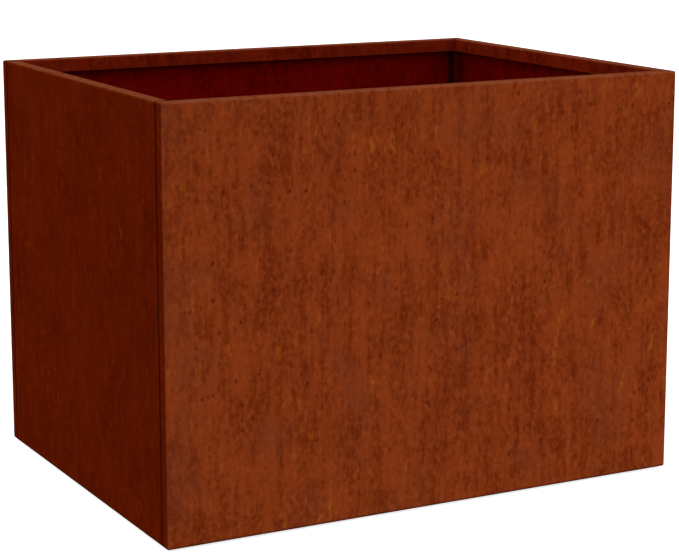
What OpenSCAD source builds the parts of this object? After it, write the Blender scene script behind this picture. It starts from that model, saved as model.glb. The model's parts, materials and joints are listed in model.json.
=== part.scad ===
// Rectangular planter box of folded weathering-steel sheet.
// Four walls bolt together through flanges hidden inside the corners, a loose base panel lies
// on the foot flanges, and four rubber pads keep the steel off the paving.
// The origin is on the ground, under the middle of the box. +X is the long side, -Y the front.

/* [Box] */
// Width of the box, along X
body_w = 800; // [500:5:1400]
// Depth of the box, along Y
body_d = 600; // [400:5:1200]
// Height of the rim above the ground
overall_h = 590; // [400:5:1000]

/* [Sheet] */
// Thickness of the four wall panels
sheet_t = 2; // [1.5:0.1:3]
// Inside radius of every fold
fold_r = 1; // [0.5:0.1:2]

/* [Rim] */
// Width of the flat top of the rim
rim_w = 20; // [18:1:40]
// Height of the lip that is folded down from the rim
lip_h = 20; // [10:1:40]
// Gap between the rims of neighbouring panels
rim_gap = 0.3; // [0.1:0.1:1]

/* [Corner flanges] */
// Clearance between the free edge of a corner flange and the lip
flange_gap = 0.5; // [0.3:0.1:2]
// Number of bolts in each corner
corner_bolts = 3; // [2:1:6]
// Height of the lowest bolt, and distance of the highest one below the rim
bolt_end = 110; // [60:5:160]

/* [Foot flanges] */
// Width of the flange folded in under each wall
foot_w = 40; // [35:1:80]

/* [Base panel] */
// Thickness of the base panel
base_t = 2; // [1.5:0.1:5]
// Gap between the base panel and what stands round it
base_gap = 1.5; // [0.5:0.1:4]
// Diameter of a drain hole
drain_d = 20; // [10:1:40]
// Number of drain holes along the width
drain_cols = 3; // [2:1:6]
// Number of drain holes along the depth
drain_rows = 2; // [2:1:5]
// Distance from a face of the box to the nearest drain holes
drain_edge = 140; // [80:5:180]

/* [Pads] */
// Diameter of a pad
pad_d = 28; // [20:1:30]
// Thickness of a pad
pad_t = 3; // [2:0.5:12]
// Distance from the faces of the box to the middle of a pad
pad_inset = 24; // [18:1:40]

/* [Fasteners] */
// Thread diameter of a bolt
bolt_d = 6; // [5:0.5:7]
// Length of a bolt under its head
bolt_len = 16; // [14:0.5:18]
// Width across the flats of a bolt head and of a nut
hex_af = 10; // [8:0.5:12]
// Height of a bolt head
head_h = 4; // [3:0.5:6]
// Height of a nut
nut_h = 5; // [4:0.5:6]
// Outside diameter of a washer
washer_d = 12; // [10:0.5:14]
// Thickness of a washer
washer_t = 1.6; // [1:0.1:2]
// How much wider than the bolt the holes in the flanges are
hole_gap = 0.6; // [0.3:0.1:1]
// How much wider than the bolt a washer's hole is
washer_gap = 0.4; // [0.2:0.1:0.8]
// How much wider than the bolt a nut's thread is
thread_gap = 0.1; // [0.05:0.05:0.2]

/* [Hidden] */
$fn = 48;

// Outside radius of every fold
skin_r = fold_r + sheet_t;
// The front and back panels wrap round each corner as far as this seam, which lies in line with
// the hidden side of the lip
seam = rim_w - sheet_t;
// Reach of the corner flanges, measured from the side face of the box
flange_w = seam - flange_gap;
// Underside of the walls
foot_z = pad_t;
// Upper side of the foot flanges, where the base panel lies
base_z = foot_z + sheet_t;

// Middle of a corner bolt, measured from the side face of the box
bolt_in = (skin_r + flange_w) / 2;
// Heights of the corner bolts
bolt_rise = (overall_h - 2 * bolt_end) / (corner_bolts - 1);
bolt_heights = [for (i = [0 : corner_bolts - 1]) bolt_end + i * bolt_rise];
// Faces of the two bolted flanges, measured from the front or back face of the box
head_face = seam + sheet_t;
nut_face = seam - sheet_t;

// Distance from a face of the box to the edge of the base panel
base_edge = skin_r + base_gap;

STEEL = "sienna";
ZINC = "silver";
RUBBER = "dimgray";
// How far a cutter stands past what it cuts
past = 1;

// ---- placing -------------------------------------------------------------------------------

// Puts a child, drawn with its corner of the box at the origin and the box on +X and +Y, at one
// of the four corners
module at_corner(right, back) {
    mirror([right ? 1 : 0, 0, 0])
        mirror([0, back ? 1 : 0, 0])
            translate([-body_w / 2, -body_d / 2, 0])
                children();
}

// Draws a child and its mirror image in the middle of a length that starts at the origin
module both_ends(length, along) {
    children();
    translate(along * length) mirror(along) children();
}

// Stands an outline up on a wall that runs along +X: its x goes inwards, its y goes up
module run_along_x(length) {
    rotate([90, 0, 90]) linear_extrude(length) children();
}

// The same, on a wall that runs along +Y
module run_along_y(length) {
    translate([0, length, 0]) rotate([90, 0, 0]) linear_extrude(length) children();
}

// Axis of each bolt of a corner; a child's +Z points into the box, away from the front or back
module at_bolts(from_face) {
    for (z = bolt_heights)
        translate([bolt_in, from_face, z]) rotate([-90, 0, 0]) children();
}

// ---- sheet profiles ------------------------------------------------------------------------

// A quarter-round fold about the point given; turn says which quarter it fills
module fold(centre, turn) {
    translate(centre) rotate(turn)
        difference() {
            intersection() {
                circle(skin_r);
                square(skin_r);
            }
            circle(fold_r);
        }
}

// End of the front or back wall seen from above: corner fold, return, fold and flange
module front_wall_end() {
    fold([skin_r, skin_r], 180);
    translate([0, skin_r]) square([sheet_t, seam - 2 * skin_r]);
    fold([skin_r, seam - skin_r], 90);
    translate([skin_r, seam - sheet_t]) square([flange_w - skin_r, sheet_t]);
}

// End of a side wall seen from above: fold and flange
module side_wall_end() {
    fold([skin_r, seam + skin_r], 180);
    translate([skin_r, seam]) square([flange_w - skin_r, sheet_t]);
}

// Section through the rim: fold, flat top, fold and lip, hanging from the level of the top
module rim_section() {
    fold([skin_r, -skin_r], 90);
    translate([skin_r, -sheet_t]) square([rim_w - 2 * skin_r, sheet_t]);
    fold([rim_w - skin_r, -skin_r], 0);
    translate([rim_w - sheet_t, -lip_h]) square([sheet_t, lip_h - skin_r]);
}

// Section through the foot: fold and flange, standing on the level of the underside
module foot_section() {
    fold([skin_r, skin_r], 180);
    translate([skin_r, 0]) square([foot_w - skin_r, sheet_t]);
}

// ---- edges that run round the box ----------------------------------------------------------

// Plan of the box with its rounded vertical corners
module box_plan() {
    translate([skin_r, 0]) square([body_w - 2 * skin_r, body_d]);
    translate([0, skin_r]) square([body_w, body_d - 2 * skin_r]);
    for (x = [skin_r, body_w - skin_r], y = [skin_r, body_d - skin_r])
        translate([x, y]) circle(skin_r);
}

// Plan of a front edge that is mitred into both corners
module front_mitre(width) {
    polygon([[0, 0], [body_w, 0], [body_w - width, width], [width, width]]);
}

// Plan of a left edge that is mitred into both corners
module left_mitre(width) {
    polygon([[0, 0], [width, width], [width, body_d - width], [0, body_d]]);
}

// Edge of the front panel. The piece of the side's edge that belongs to the return closes each
// corner. Child 0 is the section; low and high are the heights that it spans
module front_edge(width, low, high) {
    tall = high - low;
    intersection() {
        union() {
            intersection() {
                run_along_x(body_w) children(0);
                translate([0, 0, low]) linear_extrude(tall) front_mitre(width);
            }
            both_ends(body_w, [1, 0, 0])
                intersection() {
                    run_along_y(seam) children(0);
                    translate([0, 0, low]) linear_extrude(tall) left_mitre(width);
                }
        }
        translate([0, 0, low]) linear_extrude(tall) box_plan();
    }
}

// Edge of the left panel, which stops a gap short of the front and back panels' edges
module left_edge(width, low, high) {
    intersection() {
        run_along_y(body_d) children(0);
        translate([0, 0, low]) linear_extrude(high - low)
            polygon([
                [0, seam + rim_gap], [seam, seam + rim_gap], [width, width + rim_gap],
                [width, body_d - width - rim_gap], [seam, body_d - seam - rim_gap],
                [0, body_d - seam - rim_gap]
            ]);
    }
}

// ---- panels, drawn with the front left corner of the box at the origin -----------------------

module front_shape() {
    difference() {
        union() {
            translate([0, 0, foot_z + skin_r])
                linear_extrude(overall_h - foot_z - 2 * skin_r) {
                    translate([skin_r, 0]) square([body_w - 2 * skin_r, sheet_t]);
                    both_ends(body_w, [1, 0, 0]) front_wall_end();
                }
            translate([0, 0, overall_h]) front_edge(rim_w, -lip_h, 0) rim_section();
            translate([0, 0, foot_z]) front_edge(foot_w, 0, skin_r) foot_section();
        }
        both_ends(body_w, [1, 0, 0])
            at_bolts(nut_face - past) cylinder(h = sheet_t + 2 * past, d = bolt_d + hole_gap);
    }
}

module side_shape() {
    difference() {
        union() {
            translate([0, 0, foot_z + skin_r])
                linear_extrude(overall_h - foot_z - 2 * skin_r) {
                    translate([0, seam + skin_r])
                        square([sheet_t, body_d - 2 * (seam + skin_r)]);
                    both_ends(body_d, [0, 1, 0]) side_wall_end();
                }
            translate([0, 0, overall_h]) left_edge(rim_w, -lip_h, 0) rim_section();
            translate([0, 0, foot_z]) left_edge(foot_w, 0, skin_r) foot_section();
        }
        both_ends(body_d, [0, 1, 0])
            at_bolts(seam - past) cylinder(h = sheet_t + 2 * past, d = bolt_d + hole_gap);
    }
}

module front_panel() {
    color(STEEL) at_corner(false, false) front_shape();
}

module back_panel() {
    color(STEEL) at_corner(false, true) front_shape();
}

module left_panel() {
    color(STEEL) at_corner(false, false) side_shape();
}

module right_panel() {
    color(STEEL) at_corner(true, false) side_shape();
}

// Flat base with its corners cut out round the corner flanges
module base_panel() {
    size = [body_w - 2 * base_edge, body_d - 2 * base_edge];
    notch = [flange_w + base_gap - base_edge, head_face + base_gap - base_edge];
    span = [body_w - 2 * drain_edge, body_d - 2 * drain_edge];
    step = [span.x / (drain_cols - 1), span.y / (drain_rows - 1)];
    color(STEEL) translate([0, 0, base_z])
        difference() {
            linear_extrude(base_t)
                difference() {
                    square(size, center = true);
                    for (x = [-1, 1], y = [-1, 1])
                        translate([x * size.x / 2, y * size.y / 2])
                            square(2 * notch, center = true);
                }
            for (i = [0 : drain_cols - 1], j = [0 : drain_rows - 1])
                translate([i * step.x - span.x / 2, j * step.y - span.y / 2, -past])
                    cylinder(h = base_t + 2 * past, d = drain_d);
        }
}

// ---- fasteners of one corner ---------------------------------------------------------------

// Distance over the corners of a hexagon of the given width across its flats
function over_corners(flats) = flats / cos(30);

module ring(outside, inside, height) {
    difference() {
        cylinder(h = height, d = outside);
        translate([0, 0, -past]) cylinder(h = height + 2 * past, d = inside);
    }
}

module bolts(right, back) {
    color(ZINC) at_corner(right, back)
        at_bolts(head_face + washer_t) {
            translate([0, 0, -bolt_len]) cylinder(h = bolt_len + head_h, d = bolt_d);
            cylinder(h = head_h, d = over_corners(hex_af), $fn = 6);
        }
}

module bolt_washers(right, back) {
    color(ZINC) at_corner(right, back)
        at_bolts(head_face) ring(washer_d, bolt_d + washer_gap, washer_t);
}

module nut_washers(right, back) {
    color(ZINC) at_corner(right, back)
        at_bolts(nut_face - washer_t) ring(washer_d, bolt_d + washer_gap, washer_t);
}

module nuts(right, back) {
    color(ZINC) at_corner(right, back)
        at_bolts(nut_face - washer_t - nut_h)
            difference() {
                cylinder(h = nut_h, d = over_corners(hex_af), $fn = 6);
                translate([0, 0, -past])
                    cylinder(h = nut_h + 2 * past, d = bolt_d + thread_gap);
            }
}

module pad(right, back) {
    color(RUBBER) at_corner(right, back)
        translate([pad_inset, pad_inset, 0]) cylinder(h = pad_t, d = pad_d);
}

// ---- the whole box -------------------------------------------------------------------------

front_panel();
back_panel();
left_panel();
right_panel();
base_panel();

bolts(false, false);  // front_left_bolts
bolts(true, false);  // front_right_bolts
bolts(false, true);  // back_left_bolts
bolts(true, true);  // back_right_bolts

bolt_washers(false, false);  // front_left_bolt_washers
bolt_washers(true, false);  // front_right_bolt_washers
bolt_washers(false, true);  // back_left_bolt_washers
bolt_washers(true, true);  // back_right_bolt_washers

nut_washers(false, false);  // front_left_nut_washers
nut_washers(true, false);  // front_right_nut_washers
nut_washers(false, true);  // back_left_nut_washers
nut_washers(true, true);  // back_right_nut_washers

nuts(false, false);  // front_left_nuts
nuts(true, false);  // front_right_nuts
nuts(false, true);  // back_left_nuts
nuts(true, true);  // back_right_nuts

pad(false, false);  // front_left_pad
pad(true, false);  // front_right_pad
pad(false, true);  // back_left_pad
pad(true, true);  // back_right_pad
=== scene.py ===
import json
import math
from contextlib import contextmanager

import bmesh
import bpy
from bpy.props import FloatProperty, FloatVectorProperty, IntProperty, PointerProperty
from mathutils import Matrix, Vector


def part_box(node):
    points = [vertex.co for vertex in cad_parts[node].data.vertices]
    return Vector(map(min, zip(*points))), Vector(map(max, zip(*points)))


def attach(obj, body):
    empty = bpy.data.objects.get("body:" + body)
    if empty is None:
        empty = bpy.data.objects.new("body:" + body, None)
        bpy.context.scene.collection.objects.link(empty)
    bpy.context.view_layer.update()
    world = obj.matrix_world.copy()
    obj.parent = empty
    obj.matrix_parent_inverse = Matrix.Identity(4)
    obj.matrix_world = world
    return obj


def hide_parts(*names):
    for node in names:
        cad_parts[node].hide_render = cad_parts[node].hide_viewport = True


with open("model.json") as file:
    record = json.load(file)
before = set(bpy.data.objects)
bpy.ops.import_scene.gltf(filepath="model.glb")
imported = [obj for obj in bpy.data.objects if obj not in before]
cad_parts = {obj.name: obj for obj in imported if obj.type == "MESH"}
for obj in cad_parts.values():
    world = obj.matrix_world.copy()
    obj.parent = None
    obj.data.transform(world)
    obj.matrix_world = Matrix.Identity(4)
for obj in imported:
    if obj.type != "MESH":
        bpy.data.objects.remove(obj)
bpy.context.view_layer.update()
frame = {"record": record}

bl_info = {
    "name": "Folded Steel Planter",
    "version": (1, 0, 0),
    "blender": (4, 5, 0),
    "location": "3D View > Sidebar > Planter",
    "description": "Builds a planter box of folded weathering steel round its CAD frame",
    "category": "Object",
}

# ---- what the frame says -------------------------------------------------------------------

BODY = "root"
CORNERS = ("front_left", "front_right", "back_left", "back_right")

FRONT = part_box("front_panel")
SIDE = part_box("left_panel")
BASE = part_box("base_panel")
# Half of the box's width and depth, and the heights of its underside and its rim
HALF_WIDTH = FRONT[1].x
HALF_DEPTH = -FRONT[0].y
FOOT = FRONT[0].z
TOP = FRONT[1].z
# The front and back panels wrap round each corner as far as this seam
SEAM = HALF_DEPTH - SIDE[1].y

# ---- fixed values --------------------------------------------------------------------------

# Two places nearer than this are the same place
TINY = 1e-5
# Flat strips in a quarter-round fold
FOLD_STEPS = 6
# Edges sharper than this stay sharp where a piece is smoothed
SHARP = math.radians(50)
# A hexagon's width over its flats as a share of the width over its corners
HEXAGON_FLATS = math.cos(math.pi / 6)
# Depth of a metric thread as a share of its pitch
THREAD_DEPTH = 0.54
# The blank that a hexagon is turned from, as a share of the width over its corners
TURNED_BLANK = 1.002
# Its chamfered ends, as a share of the width over the flats
TURNED_END = 0.95
# How much the hollow in a pad's sole narrows upwards, so that it leaves its mould
MOULD_DRAFT = 0.95
# The studio's floor: its width, and how far it lies below the pads
FLOOR_WIDTH = 80
FLOOR_DROP = 0.0002
# How far the camera sees
FAR = 200


class PlanterSizes(bpy.types.PropertyGroup):
    """Sizes of the folded sheet and of the fasteners that the frame's boxes don't give"""

    sheet: FloatProperty(
        name="Sheet", description="Thickness of the wall panels",
        default=0.002, min=0.001, max=0.004, unit="LENGTH", precision=4,
    )
    fold: FloatProperty(
        name="Fold radius", description="Inside radius of every fold",
        default=0.001, min=0.0005, max=0.003, unit="LENGTH", precision=4,
    )
    rim: FloatProperty(
        name="Rim width", description="Width of the flat top of the rim",
        default=0.020, min=0.015, max=0.05, unit="LENGTH", precision=4,
    )
    lip: FloatProperty(
        name="Lip height", description="Height of the lip that is folded down from the rim",
        default=0.020, min=0.008, max=0.06, unit="LENGTH", precision=4,
    )
    rim_gap: FloatProperty(
        name="Rim gap", description="Gap between the rims of neighbouring panels",
        default=0.0003, min=0.0001, max=0.001, unit="LENGTH", precision=4,
    )
    flange: FloatProperty(
        name="Corner flange", description="Reach of the bolted flanges from the side of the box",
        default=0.0175, min=0.014, max=0.04, unit="LENGTH", precision=4,
    )
    foot: FloatProperty(
        name="Foot flange", description="Width of the flange folded in under each wall",
        default=0.040, min=0.03, max=0.08, unit="LENGTH", precision=4,
    )
    base_gap: FloatProperty(
        name="Base gap", description="Gap between the base panel and what stands round it",
        default=0.0015, min=0.0005, max=0.004, unit="LENGTH", precision=4,
    )
    drain: FloatProperty(
        name="Drain hole", description="Diameter of a drain hole in the base panel",
        default=0.020, min=0.01, max=0.04, unit="LENGTH", precision=4,
    )
    cut_edge: FloatProperty(
        name="Cut edge", description="Rounding of the deburred edges of the sheet",
        default=0.0003, min=0.0001, max=0.0006, unit="LENGTH", precision=4,
    )
    bolts: IntProperty(
        name="Bolts", description="Number of bolts in each corner",
        default=3, min=2, max=6,
    )
    bolt: FloatProperty(
        name="Bolt", description="Thread diameter of a bolt",
        default=0.006, min=0.005, max=0.007, unit="LENGTH", precision=4,
    )
    pitch: FloatProperty(
        name="Thread pitch", description="Distance between two turns of the thread",
        default=0.001, min=0.0005, max=0.002, unit="LENGTH", precision=4,
    )
    bolt_hole: FloatProperty(
        name="Bolt hole", description="Diameter of the holes in the corner flanges",
        default=0.0066, min=0.005, max=0.008, unit="LENGTH", precision=4,
    )
    thread_gap: FloatProperty(
        name="Thread gap", description="How much wider than its bolt a nut is bored",
        default=0.0001, min=0, max=0.0004, unit="LENGTH", precision=4,
    )
    chamfer: FloatProperty(
        name="Chamfer", description="Height of the turned corners of bolt heads and nuts",
        default=0.0006, min=0.0002, max=0.001, unit="LENGTH", precision=4,
    )
    washer_hole: FloatProperty(
        name="Washer hole", description="Diameter of the hole in a washer",
        default=0.0064, min=0.005, max=0.008, unit="LENGTH", precision=4,
    )
    washer_edge: FloatProperty(
        name="Washer edge", description="Rounding of a washer's edges",
        default=0.0002, min=0.0001, max=0.0004, unit="LENGTH", precision=4,
    )

    sole: FloatProperty(
        name="Sole", description="Width of the ring that a pad stands on",
        default=0.0035, min=0.001, max=0.006, unit="LENGTH", precision=4,
    )
    sole_depth: FloatProperty(
        name="Sole depth", description="Depth of the hollow inside that ring",
        default=0.0009, min=0.0002, max=0.0015, unit="LENGTH", precision=4,
    )
    pad_edge: FloatProperty(
        name="Pad edge", description="Rounding of a pad's edges",
        default=0.00045, min=0.0001, max=0.001, unit="LENGTH", precision=5,
    )

    @property
    def skin(self):
        """Outside radius of every fold"""
        return self.sheet + self.fold


class PlanterColours(bpy.types.PropertyGroup):
    """Colours of the finishes"""

    rust: FloatVectorProperty(
        name="Rust", description="The steel's settled rust, which covers most of it",
        subtype="COLOR", size=3, min=0, max=1, default=(0.266, 0.0440, 0.0088),
    )
    dark: FloatVectorProperty(
        name="Dark rust", description="Older rust in the streaks and between the grains",
        subtype="COLOR", size=3, min=0, max=1, default=(0.150, 0.0185, 0.0036),
    )
    light: FloatVectorProperty(
        name="Light rust", description="Paler flecks all over the rust",
        subtype="COLOR", size=3, min=0, max=1, default=(0.355, 0.0680, 0.0150),
    )
    # Also the painted shade in the seams and in the corner hollows, and the darker band along the
    # foot
    pit: FloatVectorProperty(
        name="Pits and grime", description="The bottoms of the pits, and dirt in the seams",
        subtype="COLOR", size=3, min=0, max=1, default=(0.040, 0.0030, 0.0010),
    )
    orange: FloatVectorProperty(
        name="Orange rust", description="Fresh rust in small warm spots",
        subtype="COLOR", size=3, min=0, max=1, default=(0.370, 0.0820, 0.0090),
    )
    grey: FloatVectorProperty(
        name="Grey rust", description="Mill scale that still shows through as a grey bloom",
        subtype="COLOR", size=3, min=0, max=1, default=(0.190, 0.0400, 0.0160),
    )
    # Paler rust on the rim and the folds: partly wear, partly painted sheen on the rim and painted
    # highlight on the folds
    rubbed_and_sheen: FloatVectorProperty(
        name="Rubbed rust", description="Rust that has been rubbed on the rim and the folds",
        subtype="COLOR", size=3, min=0, max=1, default=(0.235, 0.0640, 0.0270),
    )
    # Painted shade: darkens and reddens the short sides
    sides: FloatVectorProperty(
        name="Side tint", description="What the short sides' colour is multiplied by",
        subtype="COLOR", size=3, min=0, max=1, default=(0.78, 0.39, 0.14),
    )
    # Painted shade: darkens the rim's lip inside the box
    lip: FloatVectorProperty(
        name="Lip tint", description="What the colour of the rim's lip is multiplied by",
        subtype="COLOR", size=3, min=0, max=1, default=(0.70, 0.30, 0.25),
    )
    # Painted shade: darkens and reddens the inside of the box
    inside: FloatVectorProperty(
        name="Inner tint", description="What the colour of the inside is multiplied by",
        subtype="COLOR", size=3, min=0, max=1, default=(0.68, 0.05, 0.10),
    )
    zinc: FloatVectorProperty(
        name="Zinc", description="The plating of the fasteners",
        subtype="COLOR", size=3, min=0, max=1, default=(0.55, 0.55, 0.53),
    )
    rubber: FloatVectorProperty(
        name="Rubber", description="The pads",
        subtype="COLOR", size=3, min=0, max=1, default=(0.02, 0.02, 0.02),
    )
    floor: FloatVectorProperty(
        name="Floor", description="The floor of the studio",
        subtype="COLOR", size=3, min=0, max=1, default=(0.9, 0.9, 0.9),
    )


class PlanterView(bpy.types.PropertyGroup):
    """Where the camera stands"""

    azimuth: FloatProperty(
        name="Azimuth", description="Angle of the camera round the box, 0 in front",
        default=math.radians(-28.12), subtype="ANGLE",
    )
    elevation: FloatProperty(
        name="Elevation", description="Angle of the camera above the horizon",
        default=math.radians(10.65), subtype="ANGLE",
    )
    distance: FloatProperty(
        name="Distance", description="Distance from the camera to what it aims at",
        default=3.07, min=0.5, unit="LENGTH",
    )
    aim: FloatVectorProperty(
        name="Aim", description="The point that the camera aims at, from the middle of the box",
        default=(0.0145, 0.0007, 0.0387), subtype="TRANSLATION", unit="LENGTH",
    )
    lens: FloatProperty(
        name="Lens", description="Focal length in millimetres",
        default=109.06, min=20, max=300,
    )
    shift: FloatProperty(
        name="Shift", description="Upward shift of the lens, as a share of the frame's width",
        default=-0.066, min=-0.2, max=0.2,
    )


class PlanterLight(bpy.types.PropertyGroup):
    """The studio's light: a low bank in front of the box, the sky and the floor's glow"""

    power: FloatProperty(
        name="Power", description="Power of the bank",
        default=60, min=0, unit="POWER",
    )
    width: FloatProperty(
        name="Width", description="Width of the bank",
        default=3.0, min=0.1, unit="LENGTH",
    )
    height: FloatProperty(
        name="Height", description="Height of the bank",
        default=0.8, min=0.1, unit="LENGTH",
    )
    place: FloatVectorProperty(
        name="Place", description="Middle of the bank, so low that it stays out of the box",
        default=(1.2, -3.2, 0.1), subtype="TRANSLATION", unit="LENGTH",
    )
    aim: FloatVectorProperty(
        name="Aim", description="The point that the bank faces",
        default=(0.1, 0, 0.35), subtype="TRANSLATION", unit="LENGTH",
    )
    behind: FloatProperty(
        name="Sky behind", description="Brightness of the sky behind the box",
        default=0.35, min=0, max=1,
    )
    glow: FloatProperty(
        name="Floor glow", description="Light that the floor gives off, so that shadows stay faint",
        default=0.75, min=0, max=2,
    )


# ---- modelling by hand ---------------------------------------------------------------------


def near(a, b):
    return abs(a - b) < TINY


def add_piece(name, primitive, scale=(1, 1, 1), **placing):
    """Adds a primitive at its size and place, with its place in its mesh."""
    bpy.ops.object.select_all(action="DESELECT")
    primitive(**placing)
    piece = bpy.context.object
    piece.name = piece.data.name = name
    piece.scale = scale
    bpy.ops.object.transform_apply(location=True, rotation=True, scale=True)
    return piece


@contextmanager
def editing(piece):
    """Edit mode on one piece, with nothing selected to begin with."""
    bpy.ops.object.select_all(action="DESELECT")
    piece.select_set(True)
    bpy.context.view_layer.objects.active = piece
    bpy.ops.object.mode_set(mode="EDIT")
    bpy.ops.mesh.select_all(action="DESELECT")
    yield
    bpy.ops.object.mode_set(mode="OBJECT")


def pick(kind, test):
    """Selects only the faces, edges or vertices whose corners all pass the test."""
    mesh = bpy.context.object.data
    bpy.ops.mesh.select_mode(type=kind)
    bpy.ops.mesh.select_all(action="DESELECT")
    edited = bmesh.from_edit_mesh(mesh)
    if kind == "VERT":
        found = [vert for vert in edited.verts if test(vert.co)]
    else:
        parts = edited.edges if kind == "EDGE" else edited.faces
        found = [part for part in parts if all(test(vert.co) for vert in part.verts)]
    if not found:
        raise RuntimeError(f"{mesh.name}: nothing to pick where a {kind.lower()} should be")
    for part in found:
        part.select_set(True)
    bmesh.update_edit_mesh(mesh)


def draw_out(edges, leg):
    """Extrudes the free edges that pass the test."""
    pick("EDGE", edges)
    bpy.ops.mesh.extrude_edges_move(TRANSFORM_OT_translate={"value": leg})


def fold(edges, hinge, axis, leg):
    """Bends the free edges a quarter turn about a hinge line and draws the leg out."""
    pick("EDGE", edges)
    # Spin turns clockwise about its axis, so the angle is negative for a right-hand turn
    bpy.ops.mesh.spin(steps=FOLD_STEPS, angle=-math.pi / 2, center=hinge, axis=axis)
    bpy.ops.mesh.extrude_edges_move(TRANSFORM_OT_translate={"value": leg})


def score(faces, place, normal, **clear):
    """Cuts the faces that pass the test along a plane."""
    pick("FACE", faces)
    bpy.ops.mesh.bisect(plane_co=place, plane_no=normal, **clear)


def remove(faces):
    pick("FACE", faces)
    bpy.ops.mesh.delete(type="FACE")


def modify(piece, kind, **settings):
    """Adds a modifier, sets it and applies it."""
    bpy.ops.object.select_all(action="DESELECT")
    piece.select_set(True)
    bpy.context.view_layer.objects.active = piece
    modifier = piece.modifiers.new(kind.title(), kind)
    for name, value in settings.items():
        setattr(modifier, name, value)
    bpy.ops.object.modifier_apply(modifier=modifier.name)


def combine(piece, tool, operation):
    """Cuts, joins or trims a piece with a tool, which is used up."""
    modify(piece, "BOOLEAN", object=tool, operation=operation, solver="EXACT")
    bpy.data.objects.remove(tool)


def drill(piece, places, axis, diameter, depth):
    """Drills a round hole at each place, through everything within half the depth of it."""
    turn = {"Y": (math.pi / 2, 0, 0), "Z": (0, 0, 0)}[axis]
    for place in places:
        bit = add_piece(
            "drill", bpy.ops.mesh.primitive_cylinder_add,
            vertices=32, radius=diameter / 2, depth=depth, location=place, rotation=turn,
        )
        combine(piece, bit, "DIFFERENCE")


def finish(piece, node, material, edge=0):
    """Rounds a piece's cut edges, smooths it and lets it stand for its CAD node."""
    if edge:
        modify(
            piece, "BEVEL", width=edge, segments=2, limit_method="ANGLE",
            angle_limit=math.radians(40), use_clamp_overlap=True, miter_outer="MITER_ARC",
        )
    bpy.ops.object.select_all(action="DESELECT")
    piece.select_set(True)
    bpy.context.view_layer.objects.active = piece
    bpy.ops.object.shade_smooth_by_angle(angle=SHARP)
    modify(piece, "WEIGHTED_NORMAL", mode="FACE_AREA", keep_sharp=True)
    piece.data.materials.clear()
    piece.data.materials.append(material)
    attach(piece, BODY)
    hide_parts(node)


def copy_of(piece, name, place):
    """A copy with its own mesh, moved and turned as the matrix says."""
    bpy.ops.object.select_all(action="DESELECT")
    twin = piece.copy()
    twin.data = piece.data.copy()
    twin.name = twin.data.name = name
    bpy.context.collection.objects.link(twin)
    twin.matrix_world = place
    twin.select_set(True)
    bpy.context.view_layer.objects.active = twin
    bpy.ops.object.transform_apply(location=True, rotation=True, scale=True)
    return twin


def about_middle(turn):
    """A turn about the upright line through the middle of the box."""
    return Matrix.Rotation(turn, 4, "Z")


# ---- folded panels -------------------------------------------------------------------------


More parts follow.
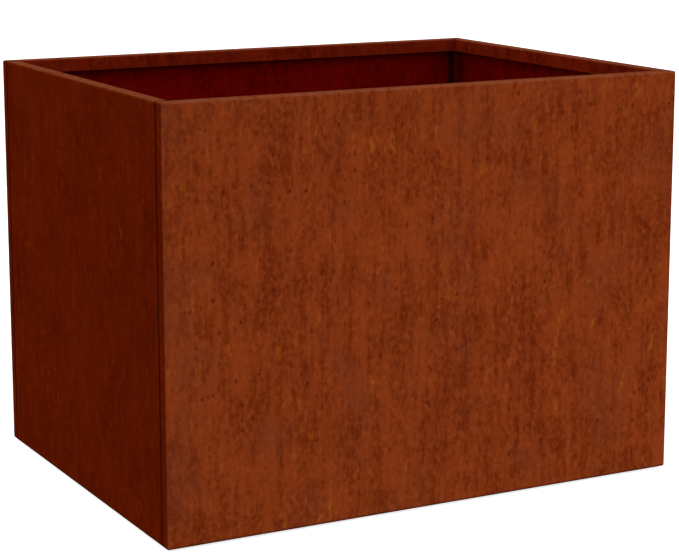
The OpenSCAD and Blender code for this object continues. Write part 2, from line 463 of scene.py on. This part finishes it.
class Wall:
    """One wall, folded from a flat blank that faces -Y.

    half is half the box's length along the wall, and depth is the wall's distance from the
    middle of the box. A wall that wraps goes round both corners to the seams, and the others
    end at the seams. The right half is folded, and then mirrored.
    """

    def __init__(self, size, half, depth, wraps):
        self.size = size
        self.half = half
        self.face = -depth
        self.wraps = wraps
        self.gap = 0 if wraps else size.rim_gap
        # How far the flat of the rim reaches, and where its lip then hangs
        self.flat = size.rim - size.skin
        self.lip = self.face + self.flat
        self.lip_end = half - self.flat

    def on_rim(self, p):
        return near(p.z, TOP)

    def on_foot(self, p):
        return near(p.z, FOOT)

    def on_face(self, p):
        return near(p.y, self.face)

    def on_end(self, p):
        return near(p.x, self.half)

    def between_folds(self, p):
        """Between the rim's fold and the foot's."""
        return FOOT + self.size.skin - TINY < p.z < TOP - self.size.skin + TINY

    def before_lip_end(self, p):
        return p.x < self.lip_end + TINY

    def fold(self, name):
        edge = self.half - (0 if self.wraps else SEAM + self.gap)
        wall = add_piece(
            name, bpy.ops.mesh.primitive_plane_add, size=1, scale=(edge, TOP - FOOT, 1),
            location=(edge / 2, self.face, (TOP + FOOT) / 2), rotation=(math.pi / 2, 0, 0),
        )
        with editing(wall):
            self.bend_edges()
            self.fold_lip()
            self.fold_foot()
            self.fold_flange()
        modify(wall, "MIRROR", use_axis=(True, False, False), merge_threshold=TINY)
        with editing(wall):
            bpy.ops.mesh.select_all(action="SELECT")
            bpy.ops.mesh.remove_doubles(threshold=TINY / 10)
            bpy.ops.mesh.normals_make_consistent(inside=False)
            outer = max(bmesh.from_edit_mesh(wall.data).faces, key=lambda f: f.calc_area())
            if outer.normal.y > 0:
                bpy.ops.mesh.flip_normals()
        modify(wall, "SOLIDIFY", thickness=self.size.sheet, offset=-1, use_even_offset=True)
        return wall

    def bend_edges(self):
        """Draws out the rim, the foot and the return, and rounds the folds between them."""
        draw_out(self.on_rim, (0, SEAM if self.wraps else self.flat, 0))
        draw_out(self.on_foot, (0, SEAM, 0))
        if self.wraps:
            draw_out(lambda p: self.on_end(p) and self.on_face(p), (0, SEAM, 0))
            bpy.ops.mesh.select_all(action="SELECT")
            bpy.ops.mesh.remove_doubles(threshold=TINY)

        def sharp(p):
            level = self.on_rim(p) or self.on_foot(p)
            return sum([self.on_face(p), level, self.wraps and self.on_end(p)]) >= 2

        pick("EDGE", sharp)
        bpy.ops.mesh.bevel(
            offset=self.size.skin, segments=FOLD_STEPS, profile=0.5, clamp_overlap=False,
        )

    def fold_lip(self):
        """Folds the lip down from the rim and cuts its mitre."""
        if self.wraps:
            score(self.on_rim, (0, self.lip, TOP), (0, 1, 0))
            score(self.on_rim, (self.lip_end, self.face, TOP), (1, 0, 0))
            remove(lambda p: self.on_rim(p) and p.y > self.lip - TINY and self.before_lip_end(p))
        fold(
            lambda p: self.on_rim(p) and near(p.y, self.lip) and self.before_lip_end(p),
            (0, self.lip, TOP - self.size.skin), (-1, 0, 0),
            (0, 0, self.size.skin - self.size.lip),
        )
        score(
            lambda p: p.y > self.lip - TINY and self.before_lip_end(p)
            and p.z > TOP - self.size.lip - TINY,
            (self.lip_end - self.gap, self.lip, TOP), (1, 1, 0), clear_outer=True,
        )

    def fold_foot(self):
        """Draws the foot flange in under the box and slants its end for the mitre."""
        reach = self.size.foot - SEAM
        end = self.half - SEAM
        if self.wraps:
            score(self.on_foot, (end, self.face, FOOT), (1, 0, 0))
        draw_out(
            lambda p: self.on_foot(p) and near(p.y, self.face + SEAM) and p.x < end + TINY,
            (0, reach, 0),
        )
        tip = self.face + self.size.foot
        pick("VERT", lambda p: near(p.y, tip) and p.x > end - self.gap - TINY)
        bpy.ops.transform.translate(value=(-reach, 0, 0))

    def fold_flange(self):
        """Folds the bolted flange at the wall's end into the box."""
        size = self.size
        if self.wraps:
            on_side = self.on_end
            axis = 1
            turn = self.face + SEAM - size.skin
            start = Vector((self.half, turn, 0))
            hinge = start - Vector((size.skin, 0, 0))
            leg = (size.skin - size.flange, 0, 0)
        else:
            on_side = self.on_face
            axis = 0
            turn = self.half - SEAM - size.skin
            start = Vector((turn, self.face, 0))
            hinge = start + Vector((0, size.skin, 0))
            leg = (0, size.flange - size.skin, 0)
        score(on_side, start, (1 - axis, axis, 0))
        remove(lambda p: on_side(p) and self.between_folds(p) and p[axis] > turn - TINY)
        fold(
            lambda p: on_side(p) and self.between_folds(p) and near(p[axis], turn),
            hinge, (0, 0, 1), leg,
        )


def finish_wall(piece, side, corners):
    """Drills a wall's flanges and gives it its finish."""
    size = bpy.context.scene.planter_sizes
    drill(piece, flange_holes(size, corners), "Y", size.bolt_hole, 4 * size.sheet)
    steel = material("settled_rust", settled_rust)
    finish(piece, f"{side}_panel", steel, size.cut_edge)


def bolt_axis(size, corner):
    """Middles of a corner's bolts and nuts, worked out from the box of its bolts."""
    low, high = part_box(f"{corner}_bolts")
    flats = (high.x - low.x) * HEXAGON_FLATS
    first = low.z + flats / 2
    step = (high.z - low.z - flats) / (size.bolts - 1)
    return [Vector(((low.x + high.x) / 2, 0, first + i * step)) for i in range(size.bolts)]


def flange_holes(size, corners):
    """Middles of the holes in the corner flanges, on the plane where two flanges meet."""
    for corner in corners:
        depth = math.copysign(HALF_DEPTH - SEAM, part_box(f"{corner}_bolts")[0].y)
        for place in bolt_axis(size, corner):
            yield (place.x, depth, place.z)


class PlanterPiece:
    """What the operators that build pieces share"""

    bl_options = {"REGISTER", "UNDO"}

    @property
    def size(self):
        return bpy.context.scene.planter_sizes


class PLANTER_OT_long_walls(PlanterPiece, bpy.types.Operator):
    """Fold the front and back panels, which wrap round the four corners"""

    bl_idname = "planter.long_walls"
    bl_label = "Front and Back Panels"

    def execute(self, context):
        front = Wall(self.size, HALF_WIDTH, HALF_DEPTH, wraps=True).fold("front_wall")
        back = copy_of(front, "back_wall", about_middle(math.pi))
        for piece, side in ((front, "front"), (back, "back")):
            finish_wall(piece, side, [name for name in CORNERS if name.startswith(side)])
        return {"FINISHED"}


class PLANTER_OT_short_walls(PlanterPiece, bpy.types.Operator):
    """Fold the left and right panels, which fit between the corners"""

    bl_idname = "planter.short_walls"
    bl_label = "Side Panels"

    def execute(self, context):
        master = Wall(self.size, HALF_DEPTH, HALF_WIDTH, wraps=False).fold("side_wall")
        for side, turn in (("left", -math.pi / 2), ("right", math.pi / 2)):
            piece = copy_of(master, f"{side}_wall", about_middle(turn))
            finish_wall(piece, side, [name for name in CORNERS if name.endswith(side)])
        bpy.data.objects.remove(master)
        return {"FINISHED"}


class PLANTER_OT_base(PlanterPiece, bpy.types.Operator):
    """Cut the base panel, notch its corners and drill its drain holes"""

    bl_idname = "planter.base"
    bl_label = "Base Panel"

    def execute(self, context):
        size = self.size
        low, high = BASE
        base = add_piece(
            "base_plate", bpy.ops.mesh.primitive_plane_add, size=1,
            scale=(high.x - low.x, high.y - low.y, 1), location=(0, 0, high.z),
        )
        notch = Vector((
            HALF_WIDTH - size.flange - size.base_gap,
            HALF_DEPTH - SEAM - size.sheet - size.base_gap,
        ))
        with editing(base):
            for side in (-1, 1):
                score(lambda p: True, (side * notch.x, 0, 0), (1, 0, 0))
                score(lambda p: True, (0, side * notch.y, 0), (0, 1, 0))
            for corner in CORNERS:
                out = Vector((1 if corner.endswith("right") else -1, -into_box(corner)))
                remove(lambda p: p.x * out.x > notch.x - TINY and p.y * out.y > notch.y - TINY)
            bpy.ops.mesh.select_all(action="SELECT")
            bpy.ops.mesh.dissolve_limited(angle_limit=math.radians(1))
        modify(base, "SOLIDIFY", thickness=high.z - low.z, offset=-1)
        openings = frame["record"]["physics"]["openings"]
        drains = [
            (Vector(opening["box_m"][0]) + Vector(opening["box_m"][1])) / 2
            for opening in openings if opening["name"].startswith("drain")
        ]
        drill(base, drains, "Z", size.drain, 8 * size.sheet)
        steel = material("settled_rust", settled_rust)
        finish(base, "base_panel", steel, size.cut_edge)
        return {"FINISHED"}


# ---- fasteners and pads --------------------------------------------------------------------


def into_box(corner):
    """+1 where +Y leads into the box, as at the front corners, and -1 at the back."""
    return 1 if corner.startswith("front") else -1


def along(corner, kind):
    """Where a corner's bolts, nuts or washers begin and end on their way into the box."""
    low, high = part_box(f"{corner}_{kind}")
    return sorted((low.y, high.y), reverse=into_box(corner) < 0)


def extent(kind):
    """Width over the corners, or diameter, and height of one fastener."""
    low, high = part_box(f"{CORNERS[0]}_{kind}")
    return high.x - low.x, high.y - low.y


def draw_face(height, share):
    """Draws the picked face up or down, and narrows or widens it to a share of its width."""
    bpy.ops.mesh.extrude_region_move(TRANSFORM_OT_translate={"value": (0, 0, height)})
    bpy.ops.transform.resize(value=(share, share, 1))


def taper(end, height, share):
    """Draws out the end face at one height."""
    pick("FACE", lambda p: near(p.z, end))
    draw_face(height, share)


def chamfered_hexagon(name, over_corners, height, chamfer, both_ends):
    """A hexagonal bar that stands on the ground, its corners turned off as on a lathe."""
    piece = add_piece(
        name, bpy.ops.mesh.primitive_cylinder_add, vertices=6, radius=over_corners / 2,
        depth=height, location=(0, 0, height / 2), rotation=(0, 0, math.pi / 6),
    )
    low = chamfer if both_ends else 0
    high = height - chamfer
    turned = add_piece(
        "turned", bpy.ops.mesh.primitive_cylinder_add, vertices=72,
        radius=over_corners * TURNED_BLANK / 2, depth=high - low,
        location=(0, 0, (high + low) / 2),
    )
    with editing(turned):
        taper(high, chamfer, TURNED_END * HEXAGON_FLATS)
        if both_ends:
            taper(low, -chamfer, TURNED_END * HEXAGON_FLATS)
    combine(piece, turned, "INTERSECT")
    return piece


def set_in_corners(master, name, kind, plane):
    """Copies a fastener to each bolt of each corner, and joins the copies of a corner.

    The master stands on the ground at the origin, and plane says where its ground goes.
    """
    size = bpy.context.scene.planter_sizes
    zinc = material("dull_zinc", dull_zinc)
    for corner in CORNERS:
        bpy.ops.object.select_all(action="DESELECT")
        turn = Matrix.Rotation(-into_box(corner) * math.pi / 2, 4, "X")
        copies = []
        for axis in bolt_axis(size, corner):
            place = Matrix.Translation((axis.x, plane(corner), axis.z))
            copies.append(copy_of(master, f"{corner}_{name}", place @ turn))
        for piece in copies:
            piece.select_set(True)
        bpy.context.view_layer.objects.active = copies[0]
        bpy.ops.object.join()
        finish(copies[0], f"{corner}_{kind}", zinc)
    bpy.data.objects.remove(master)


class PLANTER_OT_bolts(PlanterPiece, bpy.types.Operator):
    """Turn one hexagon bolt, and set a copy in every hole of the corner flanges"""

    bl_idname = "planter.bolts"
    bl_label = "Bolts"

    def execute(self, context):
        size = self.size
        over_corners, whole = extent("bolts")
        corner = CORNERS[0]
        length = abs(along(corner, "bolt_washers")[1] - along(corner, "bolts")[0])
        head = chamfered_hexagon("bolt", over_corners, whole - length, size.chamfer, False)
        radius = size.bolt / 2
        plain = 2 * size.pitch
        shank = add_piece(
            "shank", bpy.ops.mesh.primitive_cylinder_add, vertices=24, radius=radius,
            depth=plain, location=(0, 0, 0),
        )
        # Each groove narrows to the thread's root in half a pitch, and widens in the other
        half = size.pitch / 2
        root = 1 - THREAD_DEPTH * size.pitch / radius
        with editing(shank):
            end = -plain / 2
            while end > half - length + TINY:
                taper(end, -half, root)
                draw_face(-half, 1 / root)
                end -= size.pitch
            if length + end > TINY:
                taper(end, -(length + end), root)
        combine(head, shank, "UNION")
        set_in_corners(head, "hex_bolts", "bolts", lambda c: along(c, "bolt_washers")[1])
        return {"FINISHED"}


class PLANTER_OT_washers(PlanterPiece, bpy.types.Operator):
    """Punch one washer, and lay a copy under every bolt head and every nut"""

    bl_idname = "planter.washers"
    bl_label = "Washers"

    def execute(self, context):
        size = self.size
        for name, kind in (("head_washers", "bolt_washers"), ("tail_washers", "nut_washers")):
            diameter, height = extent(kind)
            washer = add_piece(
                "washer", bpy.ops.mesh.primitive_circle_add, vertices=48,
                radius=diameter / 2, location=(0, 0, height),
            )
            share = size.washer_hole / diameter
            with editing(washer):
                bpy.ops.mesh.select_all(action="SELECT")
                bpy.ops.mesh.extrude_edges_move()
                bpy.ops.transform.resize(value=(share, share, 1))
                bpy.ops.mesh.select_all(action="SELECT")
                bpy.ops.mesh.normals_make_consistent(inside=False)
                if bmesh.from_edit_mesh(washer.data).faces[:][0].normal.z < 0:
                    bpy.ops.mesh.flip_normals()
            modify(washer, "SOLIDIFY", thickness=height, offset=-1)
            modify(
                washer, "BEVEL", width=size.washer_edge, segments=2, limit_method="ANGLE",
                angle_limit=math.radians(60),
            )
            set_in_corners(washer, name, kind, lambda c, kind=kind: along(c, kind)[0])
        return {"FINISHED"}


class PLANTER_OT_nuts(PlanterPiece, bpy.types.Operator):
    """Turn one hexagon nut, and run a copy onto every bolt"""

    bl_idname = "planter.nuts"
    bl_label = "Nuts"

    def execute(self, context):
        over_corners, height = extent("nuts")
        nut = chamfered_hexagon("nut", over_corners, height, self.size.chamfer, True)
        bore = self.size.bolt + self.size.thread_gap
        drill(nut, [(0, 0, height / 2)], "Z", bore, 2 * height)
        set_in_corners(nut, "hex_nuts", "nuts", lambda c: along(c, "nuts")[0])
        return {"FINISHED"}


class PLANTER_OT_pads(PlanterPiece, bpy.types.Operator):
    """Mould a rubber pad with a hollow sole under each corner"""

    bl_idname = "planter.pads"
    bl_label = "Pads"

    def execute(self, context):
        rubber = material("pad_rubber", pad_rubber)
        low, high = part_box(f"{CORNERS[0]}_pad")
        height = high.z - low.z
        radius = (high.x - low.x) / 2
        pad = add_piece(
            "pad", bpy.ops.mesh.primitive_cylinder_add, vertices=64, radius=radius,
            depth=height, location=(0, 0, height / 2),
        )
        with editing(pad):
            pick("FACE", lambda p: near(p.z, 0))
            bpy.ops.mesh.inset(thickness=self.size.sole)
            draw_face(self.size.sole_depth, MOULD_DRAFT)
        modify(
            pad, "BEVEL", width=self.size.pad_edge, segments=3, limit_method="ANGLE",
            angle_limit=math.radians(60),
        )
        for corner in CORNERS:
            low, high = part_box(f"{corner}_pad")
            place = Matrix.Translation(((low.x + high.x) / 2, (low.y + high.y) / 2, low.z))
            piece = copy_of(pad, f"{corner}_rubber_pad", place)
            finish(piece, f"{corner}_pad", rubber)
        bpy.data.objects.remove(pad)
        return {"FINISHED"}


class PLANTER_OT_stage(PlanterPiece, bpy.types.Operator):
    """Lay the floor, hang the light and place the camera"""

    bl_idname = "planter.stage"
    bl_label = "Stage"

    def execute(self, context):
        view = context.scene.planter_view
        light = context.scene.planter_light
        # Just under the pads, so that their soles don't lie in its plane
        floor = add_piece(
            "floor", bpy.ops.mesh.primitive_plane_add, size=FLOOR_WIDTH,
            location=(0, 0, -FLOOR_DROP),
        )
        floor.data.materials.append(material("studio_floor", studio_floor))
        floor.visible_diffuse = False

        key = bpy.data.lights.new("key", "AREA")
        key.shape = "RECTANGLE"
        key.size = light.width
        key.size_y = light.height
        key.energy = light.power
        hang(key, Vector(light.place), Vector(light.aim))

        middle = Vector((0, 0, (TOP + FOOT) / 2)) + Vector(view.aim)
        across = math.cos(view.elevation)
        back = Vector((
            math.sin(view.azimuth) * across, -math.cos(view.azimuth) * across,
            math.sin(view.elevation),
        ))
        camera = bpy.data.cameras.new("camera")
        camera.lens = view.lens
        camera.shift_y = view.shift
        camera.clip_end = FAR
        context.scene.camera = hang(camera, middle + back * view.distance, middle)
        studio_sky(context.scene)
        context.scene.view_settings.view_transform = "Standard"
        return {"FINISHED"}


def hang(data, place, aim):
    """Puts a light or a camera at its place, turned towards what it aims at."""
    made = bpy.data.objects.new(data.name, data)
    bpy.context.collection.objects.link(made)
    made.location = place
    made.rotation_mode = "QUATERNION"
    made.rotation_quaternion = (aim - place).to_track_quat("-Z", "Y")
    return made


# ---- shader maths --------------------------------------------------------------------------


class Socket:
    """An output of a shader node that takes part in Python expressions."""

    def __init__(self, tree, output):
        self.tree = tree
        self.output = output

    def node(self, kind, settings=None, inputs=None, output=0):
        """Adds a node: its settings first, then its sockets. Gives one of its outputs."""
        made = self.tree.nodes.new(kind)
        for name, value in (settings or {}).items():
            setattr(made, name, value)
        for name, value in (inputs or {}).items():
            if isinstance(value, Socket):
                self.tree.links.new(value.output, made.inputs[name])
            else:
                made.inputs[name].default_value = value
        return Socket(self.tree, made.outputs[output])

    def maths(self, operation, *values):
        return self.node("ShaderNodeMath", {"operation": operation}, dict(enumerate(values)))

    def __add__(self, other):
        return self.maths("ADD", self, other)

    def __mul__(self, other):
        return self.maths("MULTIPLY", self, other)

    def __sub__(self, other):
        return self.maths("SUBTRACT", self, other)

    def __rsub__(self, other):
        return self.maths("SUBTRACT", other, self)

    def __abs__(self):
        return self.maths("ABSOLUTE", self)

    def __gt__(self, other):
        return self.maths("GREATER_THAN", self, other)

    def __lt__(self, other):
        return self.maths("LESS_THAN", self, other)

    __radd__ = __add__
    __rmul__ = __mul__

    def at_most(self, top):
        return self.maths("MINIMUM", self, top)

    def between(self, low, high):
        """0 below low, 1 above high, and smooth in between."""
        settings = {"interpolation_type": "SMOOTHSTEP"}
        inputs = {"Value": self, "From Min": low, "From Max": high}
        return self.node("ShaderNodeMapRange", settings, inputs)

    def blend(self, first, second):
        """The first colour where self is 0 and the second where it is 1."""
        inputs = {0: self, 6: first, 7: second}
        return self.node("ShaderNodeMix", {"data_type": "RGBA"}, inputs, output=2)

    def tint(self, colour, shade):
        """The colour where self is 0, and the colour times the shade where it is 1."""
        settings = {"data_type": "RGBA", "blend_type": "MULTIPLY"}
        return self.node("ShaderNodeMix", settings, {0: self, 6: colour, 7: shade}, output=2)

    def noise(self, scale, detail=3, roughness=0.55):
        inputs = {"Vector": self, "Scale": scale, "Detail": detail, "Roughness": roughness}
        return self.node("ShaderNodeTexNoise", None, inputs)

    def axes(self):
        """The x, y and z of a place."""
        return [
            self.node("ShaderNodeSeparateXYZ", None, {"Vector": self}, output=axis)
            for axis in range(3)
        ]

    def stretched(self, x, y, z, offset=(0, 0, 0)):
        """Coordinates that run faster or slower along each axis."""
        return self.node("ShaderNodeMapping", None, {
            "Vector": self, "Scale": (x, y, z), "Location": offset,
        })


def material(name, build):
    """The material of that name, built once."""
    made = bpy.data.materials.get(name)
    if made is None:
        made = bpy.data.materials.new(name)
        made.use_nodes = True
        tree = made.node_tree
        shader = next(node for node in tree.nodes if node.type == "BSDF_PRINCIPLED")
        place = tree.nodes.new("ShaderNodeTexCoord").outputs["Object"]
        build(Socket(tree, place), shader, bpy.context.scene.planter_colours)
    return made


def connect(shader, **values):
    """Sets the shader's sockets; an underscore in a name stands for a space."""
    for name, value in values.items():
        socket = shader.inputs[name.replace("_", " ")]
        if isinstance(value, Socket):
            value.tree.links.new(value.output, socket)
        else:
            socket.default_value = value


def opaque(colour):
    return (*colour, 1)


# Where the rust changes, in metres. A pair is a soft edge: where it begins, where it ends.
# The short sides' colour reaches this far in, and further at the mouths of their seams
SKIN_DEPTH = 0.0012
MOUTH_DEPTH = 0.0038
# What is deeper than this under every outer plane is inside the box
INSIDE_DEPTH = 0.001
# Below the rim: the lower edge of the lip, and the flat of the rim with its painted sheen and wear
LIP_FOOT = (0.022, 0.0195)
RIM_SHEEN_AND_WEAR = (0.004, 0.0005)
# Out from the corner: the upright folds with their painted highlight and wear
FOLD_HIGHLIGHT_AND_WEAR = (0.0005, 0.004)
# Out from the middle of a seam: its painted shade, and how deep that goes
SEAM_SHADE = (0.0009, 0.0034)
SEAM_SHADE_DEPTH = 0.02
# Painted shade in the hollow of each corner: from the outer planes inwards, and up to below the rim
POCKET_SKIN = 0.0015
POCKET_DEPTH = 0.021
POCKET_TOP = 0.0022
# Above the foot: the band that is coloured darker there
DARK_FOOT_BAND = (0.001, 0.005)


def rust_pits(place):
    """Pits in clusters, each taller than it is wide."""
    wobble = place.node("ShaderNodeTexNoise", None, {"Vector": place, "Scale": 420}, output=1)
    cells = place.node(
        "ShaderNodeVectorMath", {"operation": "MULTIPLY_ADD"},
        {0: wobble, 1: (0.7, 0.7, 0.7), 2: place.stretched(125, 125, 85)},
    )
    pit = cells.node("ShaderNodeTexVoronoi", None, {"Vector": cells, "Scale": 1})
    lot = cells.node("ShaderNodeTexVoronoi", None, {"Vector": cells, "Scale": 1}, output=1)
    chosen = lot.node("ShaderNodeSeparateXYZ", None, {"Vector": lot}).between(0.66, 0.97)
    cluster = place.stretched(1, 1, 1, offset=(0.3, 0.9, 0.1)).noise(11, detail=3)
    return (1 - pit.between(0.14, 0.42)) * chosen * cluster.between(0.36, 0.62)


def painted_shade_and_dark_foot(z, from_end, from_face, seam):
    """Painted shade in the seams and in the hollows behind them, and a darker band along the foot.
    """
    # Painted shade down each seam and in the hollow behind it
    groove = (1 - seam.between(*SEAM_SHADE)) * (from_end < SEAM_SHADE_DEPTH)
    pocket_shade = (from_end < POCKET_DEPTH) * (from_face < SEAM)
    pocket_shade = pocket_shade * (from_end > POCKET_SKIN) * (from_face > POCKET_SKIN)
    foot = 1 - z.between(*(FOOT + height for height in DARK_FOOT_BAND))
    shade_and_dark_foot = groove * 0.85 + pocket_shade * (z < TOP - POCKET_TOP) * 0.9 + foot * 0.6
    return shade_and_dark_foot.at_most(0.9)


def settled_rust(place, shader, colours):
    """Settled rust: coarse grain, soft upright streaks, warm spots, grey bloom, dark pits."""
    x, y, z = place.axes()
    # Distances in from the planes of the ends and of the faces
    from_end = HALF_WIDTH - abs(x)
    from_face = HALF_DEPTH - abs(y)
    seam = abs(from_face - SEAM)
    # The short sides, and the mouths of their seams, are given painted shade below
    skin = (from_end < SKIN_DEPTH) + (from_end + seam < MOUTH_DEPTH)
    shaded_side = skin.at_most(1.0) * (from_end < from_face)

    broad = place.stretched(1, 1, 0.7).noise(14, detail=3)
    mottle = place.stretched(1, 1, 0.8).noise(42, detail=4, roughness=0.6)
    streak = place.stretched(110, 48, 10).noise(1, detail=3, roughness=0.55)
    grain = place.stretched(1, 0.6, 0.7).noise(160, detail=3, roughness=0.6)
    fine = place.noise(900, detail=3, roughness=0.65)
    fleck = place.stretched(130, 70, 80, offset=(2.3, 4.1, 6.7)).noise(1, detail=2)
    bloom = place.stretched(12, 12, 9, offset=(3.1, 1.7, 0.4)).noise(1, detail=4)
    warm = place.stretched(60, 60, 18, offset=(7.3, 2.9, 5.1)).noise(1, detail=3)

    # The short sides are calmer than the faces, with fainter pits
    pits = rust_pits(place) * (1 - shaded_side * 0.8)
    calm = 1 - shaded_side * 0.45
    tone = grain * 0.30 + streak * 0.26 + mottle * 0.22 + broad * 0.22 - 0.48
    tone = tone * calm + fine * 0.16 + 0.40
    colour = tone.between(0.38, 0.58).blend(opaque(colours.dark), opaque(colours.rust))
    colour = (fleck.between(0.50, 0.72) * calm * 0.45).blend(colour, opaque(colours.light))
    colour = (bloom.between(0.48, 0.70) * 0.35).blend(colour, opaque(colours.grey))
    colour = (warm.between(0.60, 0.76) * grain.between(0.35, 0.6) * 0.8).blend(
        colour, opaque(colours.orange)
    )

    # The flat of the rim and the upright folds are paler and greyer: partly worn rust, partly a
    # painted sheen on the rim and a painted highlight along the folds
    flat = z.between(*(TOP - depth for depth in RIM_SHEEN_AND_WEAR))
    upright = (1 - from_end.between(*FOLD_HIGHLIGHT_AND_WEAR)) * (1 - from_face.between(*FOLD_HIGHLIGHT_AND_WEAR))
    rubbed_and_sheen = tone.between(0.34, 0.54) * (flat + upright * 0.35).at_most(1.0)
    colour = (rubbed_and_sheen * 0.8).blend(colour, opaque(colours.rubbed_and_sheen))
    colour = (pits * 0.65).blend(colour, opaque(colours.pit))

    # Painted shade: the short sides, the inside and the rim's lip are tinted darker and redder, for
    # the light that reaches them less
    colour = shaded_side.tint(colour, opaque(colours.sides))
    # The inside below the rim, and the rim's lip, are given painted shade
    within = (from_end > INSIDE_DEPTH) * (from_face > INSIDE_DEPTH)
    within = within * (z < TOP - INSIDE_DEPTH) * (1 - shaded_side)
    on_lip = z.between(*(TOP - depth for depth in LIP_FOOT))
    inner_shade = on_lip.blend(opaque(colours.inside), opaque(colours.lip))
    colour = within.tint(colour, inner_shade)

    # Painted shade in the seams and the corner hollows, and a darker band along the foot
    shade_and_dark_foot = painted_shade_and_dark_foot(z, from_end, from_face, seam)
    colour = shade_and_dark_foot.blend(colour, opaque(colours.pit))

    height = grain * 0.6 + mottle * 0.2 + fine * 0.4 - pits
    bump = place.node("ShaderNodeBump", None, {
        "Strength": 0.4, "Distance": 0.0006, "Height": height,
    })
    connect(
        shader, Base_Color=colour, Roughness=0.92 - tone * 0.3 - rubbed_and_sheen * 0.2, Normal=bump,
        Specular_IOR_Level=0.0,
    )


def dull_zinc(place, shader, colours):
    """Zinc plating: a faint spangle, dulled in places and stained by the rust round it."""
    spangle = place.noise(900, detail=1)
    bloom = place.noise(220, detail=4)
    stain = place.noise(260, detail=5, roughness=0.65).between(0.48, 0.68) * 0.8
    dulled = [0.62 * channel for channel in colours.zinc]
    colour = bloom.between(0.35, 0.7).blend(opaque(colours.zinc), opaque(dulled))
    colour = stain.blend(colour, opaque(colours.dark))
    bump = place.node("ShaderNodeBump", None, {
        "Strength": 0.2, "Distance": 0.00002, "Height": spangle + bloom,
    })
    connect(
        shader, Base_Color=colour, Metallic=1 - stain,
        Roughness=spangle * 0.3 + 0.3 + stain * 0.3, Normal=bump,
    )


def pad_rubber(place, shader, colours):
    """Matt black rubber with a fine moulded grain and some dust."""
    grain = place.noise(2500, detail=2)
    dust = place.noise(160, detail=5).between(0.45, 0.75)
    grey = [channel + 0.035 for channel in colours.rubber]
    colour = (dust * 0.7).blend(opaque(colours.rubber), opaque(grey))
    bump = place.node("ShaderNodeBump", None, {
        "Strength": 0.4, "Distance": 0.0001, "Height": grain,
    })
    connect(shader, Base_Color=colour, Roughness=dust * 0.15 + 0.75, Normal=bump)


def studio_floor(place, shader, colours):
    """A pale floor that glows a little, so that shadows on it stay faint."""
    speck = place.noise(40, detail=2)
    tone = speck.between(0.2, 0.8).blend(
        opaque(colours.floor), opaque([0.97 * channel for channel in colours.floor])
    )
    connect(
        shader, Base_Color=tone, Roughness=0.9, Specular_IOR_Level=0.0,
        Emission_Color=(1, 1, 1, 1), Emission_Strength=bpy.context.scene.planter_light.glow,
    )


def studio_sky(scene):
    """A bright sky above the horizon, dimmer behind the box, and none below the horizon."""
    world = bpy.data.worlds.new("studio")
    world.use_nodes = True
    tree = world.node_tree
    background = next(node for node in tree.nodes if node.type == "BACKGROUND")
    place = Socket(tree, tree.nodes.new("ShaderNodeTexCoord").outputs["Generated"])
    x, y, z = place.axes()
    behind = (x * 0.7 + y * 0.7).between(-0.1, 0.8)
    sky = behind.blend((1, 1, 1, 1), opaque([scene.planter_light.behind] * 3))
    sky = z.between(-0.02, 0.0).blend((0, 0, 0, 1), sky)
    tree.links.new(sky.output, background.inputs["Color"])
    background.inputs["Strength"].default_value = 1.0
    scene.world = world


# ---- the add-on ----------------------------------------------------------------------------

PROPERTIES = {
    "planter_sizes": PlanterSizes,
    "planter_colours": PlanterColours,
    "planter_view": PlanterView,
    "planter_light": PlanterLight,
}
OPERATORS = (
    PLANTER_OT_long_walls,
    PLANTER_OT_short_walls,
    PLANTER_OT_base,
    PLANTER_OT_bolts,
    PLANTER_OT_washers,
    PLANTER_OT_nuts,
    PLANTER_OT_pads,
    PLANTER_OT_stage,
)


class PLANTER_PT_sidebar(bpy.types.Panel):
    """Lists the planter's sizes, colours and pieces"""

    bl_label = "Planter"
    bl_space_type = "VIEW_3D"
    bl_region_type = "UI"
    bl_category = "Planter"

    def draw(self, context):
        for name, group in PROPERTIES.items():
            box = self.layout.box()
            for value in group.__annotations__:
                box.prop(getattr(context.scene, name), value)
        for operator in OPERATORS:
            self.layout.operator(operator.bl_idname)


def register():
    for made in (*PROPERTIES.values(), *OPERATORS, PLANTER_PT_sidebar):
        bpy.utils.register_class(made)
    for name, group in PROPERTIES.items():
        setattr(bpy.types.Scene, name, PointerProperty(type=group))


def unregister():
    for name in PROPERTIES:
        delattr(bpy.types.Scene, name)
    for made in (PLANTER_PT_sidebar, *reversed(OPERATORS), *PROPERTIES.values()):
        bpy.utils.unregister_class(made)


def main():
    register()
    for operator in OPERATORS:
        group, action = operator.bl_idname.split(".")
        getattr(getattr(bpy.ops, group), action)()


if __name__ == "__main__":
    main()
